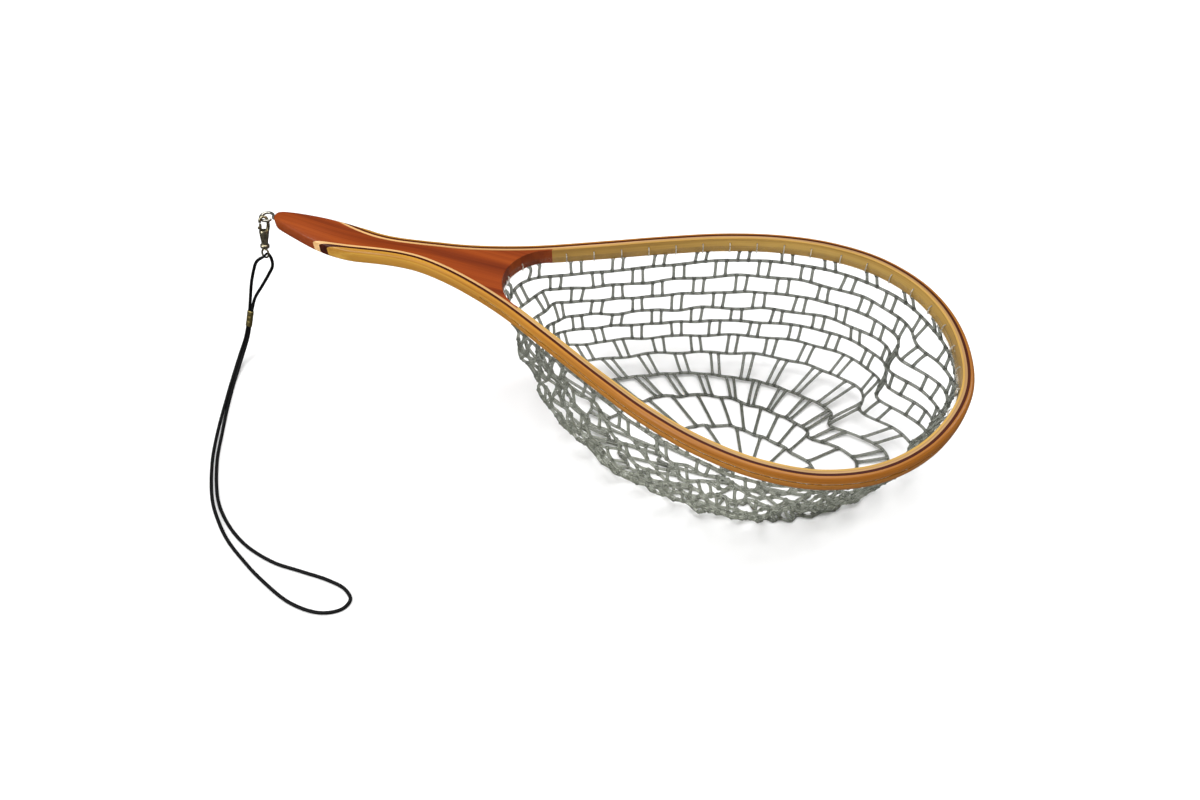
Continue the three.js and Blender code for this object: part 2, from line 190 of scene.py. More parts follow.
def dip(x):
    """How far the grip lies below the plane of the hoop."""
    return DIP_DEPTH * np.sin(np.pi * np.clip((x - DIP_START) / DIP_LENGTH, 0, 1)) ** 2


# ---------------------------------------------------------------- meshes
def build(name, points, faces, smooth_angle=35):
    """A mesh object from net millimetres, smooth but for edges sharper than the angle."""
    mesh = bpy.data.meshes.new(name)
    mesh.from_pydata(row(points).tolist(), [], faces)
    mesh.update()
    thing = bpy.data.objects.new(name, mesh)
    bpy.context.collection.objects.link(thing)
    shade(mesh, smooth_angle)
    return thing


def shade(mesh, angle):
    """Smooth shading, with edges sharper than the angle left sharp; 180 leaves none."""
    mesh.shade_smooth()
    if angle < 180:
        mesh.set_sharp_from_angle(angle=math.radians(angle))


def grid_faces(rings, sides, wrap_rings=False):
    """Quads between neighbouring rings of points; each ring closes on itself."""
    faces = []
    for i in range(rings if wrap_rings else rings - 1):
        a, b = i * sides, ((i + 1) % rings) * sides
        faces += [(a + j, a + (j + 1) % sides, b + (j + 1) % sides, b + j) for j in range(sides)]
    return faces


def end_caps(count, sides):
    """Faces over the first and the last ring of a run of count points."""
    return [tuple(range(sides))[::-1], tuple(range(count - sides, count))]


def bake_modifiers(thing):
    """Applies a thing's modifiers."""
    graph = bpy.context.evaluated_depsgraph_get()
    mesh = bpy.data.meshes.new_from_object(thing.evaluated_get(graph))
    thing.modifiers.clear()
    old = thing.data
    thing.data = mesh
    bpy.data.meshes.remove(old)


def cut(thing, tools, operation="DIFFERENCE"):
    """Takes closed tools away from a closed thing, or keeps what they share with it."""
    for tool in tools:
        step = thing.modifiers.new("cut", "BOOLEAN")
        step.operation = operation
        step.object = tool
        step.solver = "MANIFOLD"
    bake_modifiers(thing)


def discard(*things):
    """Removes helper objects from the scene."""
    for thing in things:
        bpy.data.objects.remove(thing, do_unlink=True)


def frames(path, closed=False):
    """Two unit vectors across a path at each point, turning as little as possible."""
    p = np.asarray(path, float)
    if closed:
        along = np.roll(p, -1, 0) - np.roll(p, 1, 0)
    else:
        along = np.gradient(p, axis=0)
    along /= np.linalg.norm(along, axis=1)[:, None]
    side = np.cross(along[0], (0, 0, 1) if abs(along[0][2]) < 0.9 else (1, 0, 0))
    sides = []
    for t in along:
        side = side - t * (side @ t)
        side /= np.linalg.norm(side)
        sides.append(side)
    sides = np.array(sides)
    return sides, np.cross(along, sides)


def tube(name, path, radius, sides=12, closed=False, angle=180):
    """A round tube along a path; radius is a number or one for each point."""
    path = np.asarray(path, float)
    across, up = frames(path, closed)
    radius = np.broadcast_to(radius, len(path))[:, None, None]
    turn = np.arange(sides) * 2 * math.pi / sides
    ring = across[:, None] * np.cos(turn)[:, None] + up[:, None] * np.sin(turn)[:, None]
    points = (path[:, None] + ring * radius).reshape(-1, 3)
    faces = grid_faces(len(path), sides, closed)
    if not closed:
        faces += end_caps(len(points), sides)
    return build(name, points, faces, angle)


def lathe(name, profile, sides=48, angle=40):
    """A closed turned solid about z; profile runs from the axis back to the axis."""
    turn = np.arange(sides) * 2 * math.pi / sides
    points, rings = [], []
    for r, z in profile:
        if r < 1e-6:
            rings.append([len(points)])
            points.append((0, 0, z))
        else:
            rings.append(list(range(len(points), len(points) + sides)))
            points += [(r * math.cos(a), r * math.sin(a), z) for a in turn]
    faces = []
    for a, b in zip(rings, rings[1:]):
        for j in range(sides):
            k = (j + 1) % sides
            quad = [a[j % len(a)], a[k % len(a)], b[k % len(b)], b[j % len(b)]]
            faces.append(tuple(dict.fromkeys(quad)))
    return build(name, points, [f for f in faces if len(f) > 2], angle)


def join(name, things):
    """Several objects as one."""
    whole = bmesh.new()
    for thing in things:
        part = thing.data.copy()
        part.transform(thing.matrix_world)
        whole.from_mesh(part)
        bpy.data.meshes.remove(part)
    mesh = bpy.data.meshes.new(name)
    whole.to_mesh(mesh)
    whole.free()
    thing = bpy.data.objects.new(name, mesh)
    bpy.context.collection.objects.link(thing)
    discard(*things)
    return thing


def outward(thing):
    """Turns a closed mesh's faces to point out."""
    shell = bmesh.new()
    shell.from_mesh(thing.data)
    bmesh.ops.recalc_face_normals(shell, faces=shell.faces)
    shell.to_mesh(thing.data)
    shell.free()


def block(name, xs, ys, zs):
    """A box between two places on each axis."""
    corners = [(x, y, z) for x in xs for y in ys for z in zs]
    faces = [(0, 1, 3, 2), (4, 6, 7, 5), (0, 4, 5, 1), (2, 3, 7, 6), (0, 2, 6, 4), (1, 5, 7, 3)]
    thing = build(name, corners, faces)
    outward(thing)
    return thing


def finish_piece(thing, body, node, material):
    """Gives a visual piece its material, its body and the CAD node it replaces."""
    thing.data.materials.clear()
    thing.data.materials.append(material)
    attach(thing, body)
    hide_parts(node)
    return thing


# ---------------------------------------------------------------- materials
class Nodes:
    """A material's node tree, with short calls for the nodes used here."""

    def __init__(self, name, color, roughness, metallic=0.0):
        self.material = bpy.data.materials.new(name)
        self.material.use_nodes = True
        self.tree = self.material.node_tree
        self.shader = self.tree.nodes["Principled BSDF"]
        self.set("Base Color", (*color, 1))
        self.set("Roughness", roughness)
        self.set("Metallic", metallic)

    def set(self, socket, value):
        self.shader.inputs[socket].default_value = value

    def link(self, source, target):
        self.tree.links.new(source, target)

    def add(self, kind, **values):
        node = self.tree.nodes.new(kind)
        for key, value in values.items():
            setattr(node, key, value)
        return node

    def place(self, attribute=None, scale=(1, 1, 1)):
        """A position to hang a pattern on: a stored attribute, or the piece's own coordinates."""
        if attribute:
            source = self.add("ShaderNodeAttribute", attribute_name=attribute).outputs["Vector"]
        else:
            source = self.add("ShaderNodeTexCoord").outputs["Object"]
        mapping = self.add("ShaderNodeMapping")
        mapping.inputs["Scale"].default_value = scale
        self.link(source, mapping.inputs["Vector"])
        return mapping.outputs["Vector"]

    def noise(self, vector, detail, distortion=0.0):
        """Noise whose size is set by the vector's own scale."""
        node = self.add("ShaderNodeTexNoise")
        node.inputs["Scale"].default_value = 1.0
        node.inputs["Detail"].default_value = detail
        node.inputs["Distortion"].default_value = distortion
        self.link(vector, node.inputs["Vector"])
        return node.outputs["Fac"]

    def ramp(self, value, stops):
        """A colour for a value, from (place, colour) stops."""
        node = self.add("ShaderNodeValToRGB")
        band = node.color_ramp
        while len(band.elements) < len(stops):
            band.elements.new(0.5)
        for element, (at, color) in zip(band.elements, stops):
            element.position = at
            element.color = (*color, 1)
        self.link(value, node.inputs["Fac"])
        return node.outputs["Color"]

    def spread(self, value, low, high):
        """Maps 0..1 to low..high."""
        node = self.add("ShaderNodeMapRange")
        node.inputs["To Min"].default_value = low
        node.inputs["To Max"].default_value = high
        self.link(value, node.inputs["Value"])
        return node.outputs["Result"]

    def multiply(self, factor, a, b):
        """Colour a darkened or tinted by colour b, as strongly as the factor says."""
        node = self.add("ShaderNodeMix", data_type="RGBA", blend_type="MULTIPLY")
        node.inputs["Factor"].default_value = factor
        self.link(a, node.inputs["A"])
        self.link(b, node.inputs["B"])
        return node.outputs["Result"]

    def math(self, operation, a, b=None):
        """A math node's result; a and b are numbers or sockets."""
        node = self.add("ShaderNodeMath", operation=operation)
        for socket, value in zip(node.inputs, (a, b)):
            if value is None:
                continue
            if isinstance(value, (int, float)):
                socket.default_value = value
            else:
                self.link(value, socket)
        return node.outputs["Value"]

    def bump(self, height, strength, distance):
        """Bumps the shader's surface by a height."""
        node = self.add("ShaderNodeBump")
        node.inputs["Strength"].default_value = strength
        node.inputs["Distance"].default_value = distance
        self.link(height, node.inputs["Height"])
        self.link(node.outputs["Normal"], self.shader.inputs["Normal"])


def varnished_wood(
    name, dark, middle, light, rings, streak=1.0, gloss=0.28, butt=(1, 1, 1), tip=(1, 1, 1)
):
    """Straight-grained wood under gloss varnish; the attribute grain holds (along, across, up).

    A higher rings makes the growth rings finer, and a higher streak makes the fibres shorter. butt and tip
    are tints that the colour moves to at the net's two ends: a lighter tint is painted light, a darker one
    painted shade.
    """
    n = Nodes(name, middle, 0.38)
    bands = n.noise(n.place("grain", (2.2, rings, rings * 0.35)), 3.0, 0.6)
    fibres = n.noise(n.place("grain", (14 * streak, 1500, 1500)), 5.0)
    clouds = n.noise(n.place("grain", (9, 30, 30)), 2.0)
    color = n.ramp(bands, [(0.28, dark), (0.5, middle), (0.74, light)])
    fine = n.ramp(fibres, [(0.3, (0.55, 0.5, 0.46)), (0.6, (1, 1, 1))])
    color = n.multiply(0.5, color, fine)
    tone = n.ramp(clouds, [(0.3, (0.78, 0.74, 0.7)), (0.7, (1.0, 1.0, 1.0))])
    color = n.multiply(0.6, color, tone)
    place = n.add("ShaderNodeSeparateXYZ")
    n.link(n.place(), place.inputs["Vector"])
    # Painted light and shade: the colour moves to the butt tint on the grip and to the tip tint towards the
    # tip.
    from_butt = n.math("MULTIPLY", n.math("ADD", place.outputs["X"], 0.2), 1.8)
    ends = n.ramp(from_butt, [(0.0, butt), (0.45, (1, 1, 1)), (0.95, tip)])
    n.link(n.multiply(1.0, color, ends), n.shader.inputs["Base Color"])
    n.link(n.spread(fibres, 0.3, 0.5), n.shader.inputs["Roughness"])
    n.set("Coat Weight", gloss)
    n.set("Coat Roughness", 0.12)
    n.set("Specular IOR Level", 0.2)
    n.set("Coat IOR", 1.5)
    n.bump(fibres, 0.12, 0.0002)
    return n.material


def clear_rubber(name, color, roughness, clearness, ior=1.42, painted_light_gain=1.0, alpha=1.0):
    """Clear moulded rubber or nylon.

    The factor after ior says how many times paler it is painted low down and on the near side: painted light.
    """
    n = Nodes(name, color, roughness)
    haze = n.noise(n.place(None, (260, 260, 260)), 3.0)
    tint = n.ramp(haze, [(0.3, tuple(c * 0.8 for c in color)), (0.7, color)])
    place = n.add("ShaderNodeSeparateXYZ")
    n.link(n.place(), place.inputs["Vector"])
    # Painted light: the colour grows paler low down and on the near side.
    low = n.math("SUBTRACT", 0.55, n.math("MULTIPLY", place.outputs["Z"], 3.5))
    near = n.math("SUBTRACT", low, n.math("MULTIPLY", place.outputs["Y"], 5.0))
    paler = n.ramp(near, [(0.1, (1.0, 1.0, 1.0)), (0.95, (painted_light_gain, painted_light_gain, painted_light_gain * 0.97))])
    n.link(n.multiply(1.0, tint, paler), n.shader.inputs["Base Color"])
    n.link(n.spread(haze, roughness * 0.7, roughness * 1.5), n.shader.inputs["Roughness"])
    n.set("IOR", ior)
    n.set("Transmission Weight", clearness)
    n.set("Alpha", alpha)
    n.bump(haze, 0.15, 0.0003)
    return n.material


def worn_metal(name, bright, dull, roughness):
    """Metal with dull patches and fine scratches."""
    n = Nodes(name, bright, roughness, 1.0)
    patches = n.noise(n.place(None, (420, 420, 420)), 5.0, 0.4)
    scratches = n.noise(n.place(None, (2600, 2600, 500)), 3.0)
    n.link(n.ramp(patches, [(0.35, dull), (0.62, bright)]), n.shader.inputs["Base Color"])
    n.link(n.spread(scratches, roughness * 0.6, roughness * 1.6), n.shader.inputs["Roughness"])
    n.bump(scratches, 0.2, 0.00008)
    return n.material


def braided_cord():
    """Fine black braid; the attribute braid holds (along in diameters, turn in radians, 0)."""
    n = Nodes("black_braid", (0.004, 0.004, 0.005), 0.7)
    split = n.add("ShaderNodeSeparateXYZ")
    n.link(n.place("braid"), split.inputs["Vector"])
    along = n.math("MULTIPLY", split.outputs["X"], 5.0)
    turn = n.math("MULTIPLY", split.outputs["Y"], 4.0)
    left = n.math("SINE", n.math("ADD", along, turn))
    right = n.math("SINE", n.math("SUBTRACT", along, turn))
    weave = n.math("MULTIPLY", left, right)
    fuzz = n.noise(n.place(None, (3000, 3000, 3000)), 2.0)
    # The colour is darker where the weave's bump is low: painted shade between the strands.
    stops = [(0.2, (0.001, 0.001, 0.001)), (0.8, (0.006, 0.006, 0.007))]
    color = n.ramp(n.spread(weave, 0.3, 0.7), stops)
    n.link(color, n.shader.inputs["Base Color"])
    n.link(n.spread(fuzz, 0.5, 0.75), n.shader.inputs["Roughness"])
    n.set("Specular IOR Level", 0.2)
    n.bump(weave, 0.6, 0.00012)
    return n.material


# ---------------------------------------------------------------- the wooden frame
def sweep_plan(name, section):
    """A section of (depth below the top face, distance inwards) swept along the plan."""
    points = []
    for p, inward in zip(PLAN, INWARD):
        points += [(*(p + inward * y), TOP_Z - depth) for depth, y in section]
    faces = grid_faces(len(PLAN), len(section)) + end_caps(len(points), len(section))
    thing = build(name, points, faces)
    outward(thing)
    return thing


# One side of the butt, seen from above.
BUTT_OUTLINE = [
    (-3, 0), (-2.2, 3.2), (1, 6), (8, 8.4), (20, 11.4), (40, 15.4), (58, 17.1), (74, 16.9),
    (86, 16.3), (98, 17.5), (112, 30),
]


def butt_envelope():
    """The room inside the rounded butt; it lies far outside the strips from the grip onwards."""
    half = even(spline(BUTT_OUTLINE, 24), 110)
    side = np.vstack([half, [(130, 150), (640, 150)]])
    outline = np.vstack([side, side[:0:-1] * [1, -1]])
    along = np.roll(outline, -1, 0) - np.roll(outline, 1, 0)
    along /= np.linalg.norm(along, axis=1)[:, None]
    normal = np.stack([along[:, 1], -along[:, 0]], axis=1)
    turns = np.radians([0, 15, 30, 45, 60, 75, 90])
    inset = [(BUTT_ROUND * (1 - math.sin(a)), BUTT_ROUND * (1 - math.cos(a))) for a in turns]
    levels = inset + [(x, FRAME_H - depth) for x, depth in inset[::-1]]
    points = []
    for move, depth in levels:
        points += [(x, y, TOP_Z - depth) for x, y in outline + normal * move]
    count = len(outline)
    faces = grid_faces(len(levels), count)
    faces += [face[::-1] for face in end_caps(len(points), count)]
    thing = build("butt_envelope", points, faces)
    outward(thing)
    return thing


def hole_places():
    """Places along the hoop where the lacing passes through the wood."""
    on_hoop = np.nonzero(PLAN[:, 0] > HORN_X + 8)[0]
    first, last = LENGTH[on_hoop[0]], LENGTH[on_hoop[-1]]
    count = int((last - first) // HOLE_PITCH)
    return [int(np.abs(LENGTH - s).argmin()) for s in np.linspace(first, last, count)]


HOLES = hole_places()


def at_plan(i, inward, z):
    """The point at a height, and a distance inwards from a point of the plan."""
    return np.array([*(PLAN[i] + INWARD[i] * inward), z])


def hole_tools():
    """A drill through all the strips at each lacing hole."""
    drills = []
    for i in HOLES:
        line = [at_plan(i, d, TOP_Z - GROOVE_Z) for d in (-OUTER_FACE - 2, INNER_FACE + 2)]
        drills.append(tube("drill", line, HOLE_R, 12))
    whole = join("hole_tools", drills)
    outward(whole)
    return whole


def trim_to_hoop(thing, x):
    """Cuts off what lies before x."""
    before = block("before", (-60, x), (-160, 160), (TOP_Z - 60, TOP_Z + 20))
    cut(thing, [before])
    discard(before)


def with_grain(thing, along_plan=True):
    """Bends the grip down along its dip and stores where each point lies in the wood's grain."""
    mesh = thing.data
    co = np.empty(len(mesh.vertices) * 3)
    mesh.vertices.foreach_get("co", co)
    co = co.reshape(-1, 3) * 1000 + [MIDDLE_X, 0, 0]
    if along_plan:
        nearest = np.array([((PLAN - p[:2]) ** 2).sum(1).argmin() for p in co])
        across = ((co[:, :2] - PLAN[nearest]) * INWARD[nearest]).sum(1)
        grain = np.stack([LENGTH[nearest], across, co[:, 2]], axis=1)
    else:
        grain = co.copy()
    co[:, 2] -= dip(co[:, 0])
    mesh.vertices.foreach_set("co", row(co).ravel())
    store = mesh.attributes.new("grain", "FLOAT_VECTOR", "POINT")
    store.data.foreach_set("vector", (grain / 1000).ravel())
    mesh.update()
    shade(mesh, 32)


def strip(name, section, tools, material, hoop_from=None):
    """One strip of the frame; hoop_from is where it begins if it doesn't run down the grip."""
    thing = sweep_plan(name, section)
    if hoop_from:
        trim_to_hoop(thing, hoop_from)
    cut(thing, tools)
    cut(thing, [envelope], "INTERSECT")
    with_grain(thing)
    return finish_piece(thing, "net_frame", name.replace("_wood", "_strip"), material)


def box_section(from_y, to_y):
    """A strip's plain section, as tall as the frame."""
    return [(0, from_y), (FRAME_H, from_y), (FRAME_H, to_y), (0, to_y)]


def outer_section():
    """Flush with the dark strip above and below, with both outside edges rounded."""
    flat, deep = 0.25, 4.6
    wide = OUTER_FACE - DARK - flat
    turns = np.radians(np.linspace(0, 90, 9))
    upper = [(deep * (1 - math.cos(a)), -DARK - flat - wide * math.sin(a)) for a in turns]
    lower = [(FRAME_H - depth, y) for depth, y in upper[::-1]]
    return [(0, -DARK), *upper, *lower, (FRAME_H, -DARK)]


def groove_tool():
    """What is cut out for the lacing groove, which is 1.4 mm wide and 1.4 mm deep."""
    half, floor = 0.7, -OUTER_FACE + 1.4
    low, high = GROOVE_Z + half, GROOVE_Z - half
    section = [
        (high, -OUTER_FACE - 1), (low, -OUTER_FACE - 1), (low, floor - 0.5),
        (GROOVE_Z + half / 2, floor), (GROOVE_Z - half / 2, floor), (high, floor - 0.5),
    ]
    thing = sweep_plan("groove_tool", section)
    trim_to_hoop(thing, GROOVE_START_X)
    return thing


def throat_arc(clear=0.0):
    """The throat's arc from the near horn's tip to the far one, moved into the mouth by clear."""
    side = PLAN + INWARD * INNER_FACE
    near = side[: len(side) // 2]
    tip_y = np.interp(HORN_X, near[:, 0], near[:, 1])
    rise = HORN_X - THROAT_X
    radius = (rise**2 + tip_y**2) / (2 * rise)
    reach = math.asin(-tip_y / radius)
    turns = np.pi + reach * np.linspace(1, -1, 49)
    r = radius - clear
    return np.stack([THROAT_X + radius + r * np.cos(turns), r * np.sin(turns)], axis=1)


def handle_core(material):
    """A slab with a row of points every 3 mm, so it can follow the dip, trimmed to the core's outline."""
    side = PLAN + INWARD * (PALE_FACE + GLUE)
    near = side[: len(side) // 2]
    end_y = np.interp(HORN_X, near[:, 0], near[:, 1])
    near = near[near[:, 0] < HORN_X]
    near = np.vstack([(-20, -34), near, (HORN_X, end_y)])
    outline = np.vstack([near, throat_arc(), near[::-1] * [1, -1]])
    count = len(outline)
    points = [(x, y, z) for z in (TOP_Z - FRAME_H - 5, TOP_Z + 5) for x, y in outline]
    faces = grid_faces(2, count) + end_caps(2 * count, count)
    prism = build("core_prism", points, faces)
    outward(prism)
    stations = np.arange(-10, 262, 3.0)
    ring = [(-60, TOP_Z - FRAME_H), (60, TOP_Z - FRAME_H), (60, TOP_Z), (-60, TOP_Z)]
    points = [(x, y, z) for x in stations for y, z in ring]
    faces = grid_faces(len(stations), 4) + end_caps(len(points), 4)
    slab = build("handle_core_wood", points, faces)
    outward(slab)
    cut(slab, [prism, envelope], "INTERSECT")
    discard(prism)
    with_grain(slab, along_plan=False)
    return finish_piece(slab, "net_frame", "handle_core", material)


camera()
studio()
envelope = butt_envelope()
drills = hole_tools()
groove = groove_tool()
core_wood = varnished_wood(
    "core_varnished", (0.155, 0.021, 0.002), (0.255, 0.041, 0.003), (0.335, 0.064, 0.006),
    rings=90, streak=0.5, gloss=0.08,
)
# The pale strip is painted about twice as light on the grip: painted light.
pale_wood = varnished_wood(
    "pale_varnished", (0.3, 0.16, 0.06), (0.4, 0.23, 0.09), (0.5, 0.31, 0.14),
    rings=420, butt=(2.0, 2.1, 2.2),
)
inner_wood = varnished_wood(
    "inner_varnished", (0.41, 0.23, 0.05), (0.54, 0.325, 0.076), (0.63, 0.41, 0.11), rings=420
)
dark_wood = varnished_wood(
    "dark_varnished", (0.025, 0.003, 0.001), (0.06, 0.008, 0.001), (0.1, 0.014, 0.001),
    rings=500, gloss=0.05,
)
# The golden strip is painted paler on the grip and darker towards the tip: painted light and painted shade.
gold_wood = varnished_wood(
    "golden_varnished", (0.34, 0.12, 0.01), (0.45, 0.18, 0.018), (0.55, 0.25, 0.035),
    rings=380, gloss=0.18, butt=(1.15, 1.45, 1.5), tip=(0.8, 0.74, 0.7),
)
handle_core(core_wood)
strip("inner_wood", box_section(PALE_FACE + GLUE, INNER_FACE), [drills], inner_wood, HORN_X)
strip("pale_wood", box_section(DARK + GLUE, PALE_FACE), [drills], pale_wood)
strip("dark_wood", box_section(-DARK, DARK), [drills], dark_wood)
strip("outer_wood", outer_section(), [groove, drills], gold_wood)
discard(envelope, drills, groove)


# ---------------------------------------------------------------- the lanyard
# The two strands of the loop, each from below the swivel eye to where they meet on the floor.
NEAR_STRAND = [
    (-17.3, -21.6, 106), (-21.4, -22.4, 101.5), (-28, -22.6, 89), (-33.3, -25.2, 74),
    (-36.6, -28.4, 60), (-38, -34.6, 46.2), (-39.8, -41.9, 32.2), (-41.6, -48.4, 21.4),
    (-43.4, -61.4, 9), (-39.2, -82.2, 2.2), (-28.6, -110, 1.2), (-13, -147.5, 1.2),
    (1.7, -177, 1.2), (25.4, -211.5, 1.2), (44.3, -229.5, 1.2), (62.2, -242.7, 1.2),
    (83, -253.7, 1.2), (108, -264.8, 1.2), (143.5, -275.8, 1.2), (170, -275, 1.2), (184.5, -266, 1.2),
]
FAR_STRAND = [
    (-9.8, -14.6, 105.5), (-11.2, -14.4, 94), (-16.5, -17.2, 84), (-24.6, -22.1, 71),
    (-32.6, -28, 58), (-35.5, -34.6, 45.8), (-37.3, -41.9, 31.8), (-39, -48, 21.2),
    (-40.6, -60.6, 9), (-36.5, -81.2, 2.2), (-25.9, -108.8, 1.2), (-9.1, -145.8, 1.2),
    (5.4, -175, 1.2), (29, -208.6, 1.2), (46.3, -224, 1.2), (64.9, -235.4, 1.2),
    (84.2, -243, 1.2), (110.6, -247.8, 1.2), (134.6, -247.4, 1.2), (160.3, -247, 1.2),
    (177.5, -249.6, 1.2), (186.6, -256.5, 1.2),
]
# The screw eye's ring: its centre, its radius to the middle of the wire, and the wire's radius.
RING = np.array([-12.5, 0, MID_Z])
RING_R, RING_WIRE = 5.8, 1.3
PIVOT = RING - [0, RING_R, 0]
# The snap hangs from the pivot, tilted out by this much; the cord goes over the swivel eye's lower wire.
TILT = math.radians(20)
DOWN = np.array([0, -math.sin(TILT), -math.cos(TILT)])
EYE = PIVOT + DOWN * 32.9
CORD_R = 1.45
# The cord's radius is less by EYE_PINCH in the eye, and by about a third of that PINCH_REACH along it.
EYE_PINCH, PINCH_REACH = 0.4, 4


def strand_room(path):
    """Half the distance from each point of a looped path to the strand beside it."""
    neighbours = 20
    count = len(path)
    steps = np.abs(np.arange(count)[:, None] - np.arange(count)[None])
    far_along = np.minimum(steps, count - steps) > neighbours
    apart = np.linalg.norm(path[:, None] - path[None], axis=2)
    return np.where(far_along, apart, np.inf).min(axis=1) / 2


def lanyard(material):
    """The cord: one loop that begins and ends in the swivel eye and lies on the floor."""
    front, back = EYE + [0, -0.4, 0], EYE + [0, 0.4, 0]
    route = [
        EYE, front + [-0.35, -2.2, -0.2], *NEAR_STRAND,
        *FAR_STRAND[::-1], back + [0.45, 2.3, -0.2], EYE,
    ]
    path = even(spline(route, 16), 640)
    path[:, 2] = np.maximum(path[:, 2], CORD_R + 0.05)
    sides = 14
    length = np.linalg.norm(np.diff(path, axis=0), axis=1).sum()
    from_eye = np.linspace(0, length, len(path))
    from_eye = np.minimum(from_eye, length - from_eye)
    pinched = CORD_R - EYE_PINCH * np.exp(-(from_eye / PINCH_REACH) ** 2)
    radius = np.minimum(pinched, strand_room(path))
    thing = tube("lanyard_braid", path, radius, sides)
    along = np.linspace(0, length / (2 * CORD_R), len(path))
    turn = np.arange(sides) * 2 * math.pi / sides
    braid = np.zeros((len(path), sides, 3))
    braid[..., 0], braid[..., 1] = along[:, None], turn[None]
    store = thing.data.attributes.new("braid", "FLOAT_VECTOR", "POINT")
    store.data.foreach_set("vector", braid.ravel())
    thing.data.materials.append(material)
    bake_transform(thing)
    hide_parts("lanyard_cord")
    return thing, path, length


cord, cord_path, cord_length = lanyard(braided_cord())


# ---------------------------------------------------------------- the rubber bag
BAND_TOP, BAND_H, BAND_WALL = 8, 5, 1.6
# The bars come in pairs. HALF_GAP is half the space between the two in turns round the mouth, which makes
# it about 4.6 mm at the rim.
PAIRS = 26
HALF_GAP = 4.2 / 880
STRAND_R = 1.36
# A bar grows by FLARE where it meets a ring, and the growth fades over FLARE_REACH along it.
FLARE, FLARE_REACH = 0.7, 1.7
# Rings of the net on the far and the near side: each has its height above the floor and how far it has
# moved from the rim towards the bottom's outline. The rings after these lie on the bottom.
FAR = [
    (134, 0), (118, -0.14), (101, -0.1), (84, -0.04), (66, 0.0), (49, 0.0), (32, 0.06), (16, 0.26), (4, 0.74),
]
NEAR = [
    (134, 0), (120, -0.05), (106, 0.0), (90, 0.1), (73, 0.2), (56, 0.32), (39, 0.5), (21, 0.74), (6, 1.0),
]
SCALES = [0.86, 0.55, 0.14]
WALL_ROWS = len(FAR)
LAST_ROW = WALL_ROWS + len(SCALES) - 1
PAIR_ROWS = 9
# The bottom's outline is an ellipse (centre x, centre y, half length, half width) drawn in to the hub.
BOTTOM = (430, -6, 130, 72)
HUB = (455, -38)
# The large fold is at FOLD_AT turns round the mouth and FOLD_DEPTH deep. The near left side bulges by BELLY.
FOLD_AT, FOLD_DEPTH = 0.585, 19
BELLY = 12


def mouth_curve():
    """The mouth's outline just inside the wood, from the throat round the near side; evenly sampled."""
    side = PLAN + INWARD * (INNER_FACE + 0.6)
    hoop = side[side[:, 0] > HORN_X + 6]
    throat = throat_arc(0.9)
    half = len(throat) // 2
    low, high = throat[half + 3:], throat[:half - 2]
    near_end, far_end = (low, high) if low[-1][1] < 0 else (high[::-1], low[::-1])
    loop = np.vstack([near_end[:-4], hoop, far_end[4:]])
    return even(loop, 720, closed=True)


MOUTH = mouth_curve()


def smooth_step(x, low, high):
    """0 below low, 1 above high, and a smooth rise between them."""
    t = np.clip((x - low) / (high - low), 0, 1)
    return t * t * (3 - 2 * t)


def waves(u, at, seed):
    """Smooth irregular waves, mostly within -1..1, over turns u and rows at."""
    rng = np.random.default_rng(seed)
    total = np.zeros(np.shape(u))
    for turns, rows, size in ((4, 0.7, 0.4), (9, 1.3, 0.3), (17, 1.9, 0.25), (31, 2.6, 0.2)):
        for k in range(2):
            phase = rng.uniform(0, 6.3, 2)
            around = np.sin(2 * np.pi * (turns + k) * u + phase[0])
            total = total + size * 0.8 * around * np.sin(rows * at + phase[1])
    return total


